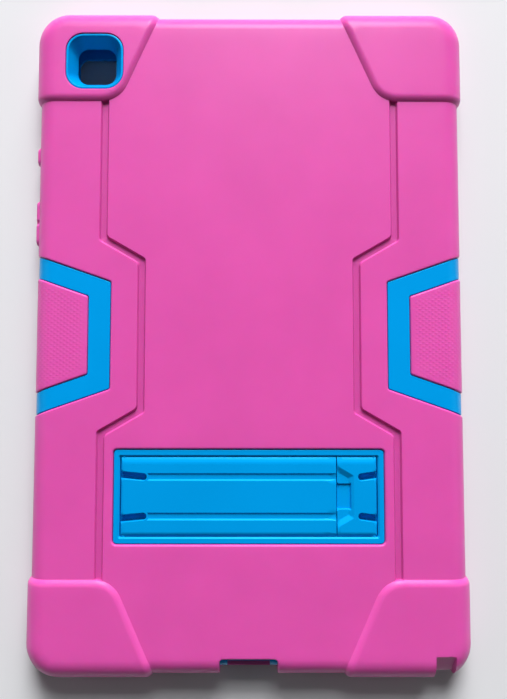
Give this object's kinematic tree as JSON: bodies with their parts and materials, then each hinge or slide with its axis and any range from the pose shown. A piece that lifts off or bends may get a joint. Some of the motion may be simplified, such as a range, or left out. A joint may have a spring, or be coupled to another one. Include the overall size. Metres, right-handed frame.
{
  "type": "rugged tablet case",
  "caption": "Rubber skin with raised corner bumpers over a hard shell and front frame, with a camera window, port cut-outs and a fold-out stand of two hinged leaves in the back.",
  "frame": {"origin": "under the middle of the case, on the surface that its front bumpers rest on", "axes": "+Z out of the back of the case, which lies face down; +Y along its length, towards the end with the camera window; +X across it, with the buttons on the -X side"},
  "size_m": [0.1696, 0.2598, 0.016],
  "materials": {
    "skin_rubber": "matte",
    "shell_plastic": "satin",
    "leaf_plastic": "satin"
  },
  "bodies": {
    "case": {"silicone_skin": "skin_rubber", "rear_shell": "shell_plastic", "front_frame": "shell_plastic"},
    "long_leaf": {"stand_long_leaf": "leaf_plastic"},
    "short_leaf": {"stand_short_leaf": "leaf_plastic"}
  },
  "joints": [
    {"name": "long_leaf_hinge", "type": "hinge", "parent": "case", "child": "long_leaf", "pos_m": [-0.0475, -0.0614, 0.01315], "axis": [0, -1, 0], "range_deg": [0, 100]},
    {"name": "short_leaf_hinge", "type": "hinge", "parent": "case", "child": "short_leaf", "pos_m": [0.0475, -0.0614, 0.01315], "axis": [0, 1, 0], "range_deg": [0, 100]}
  ]
}
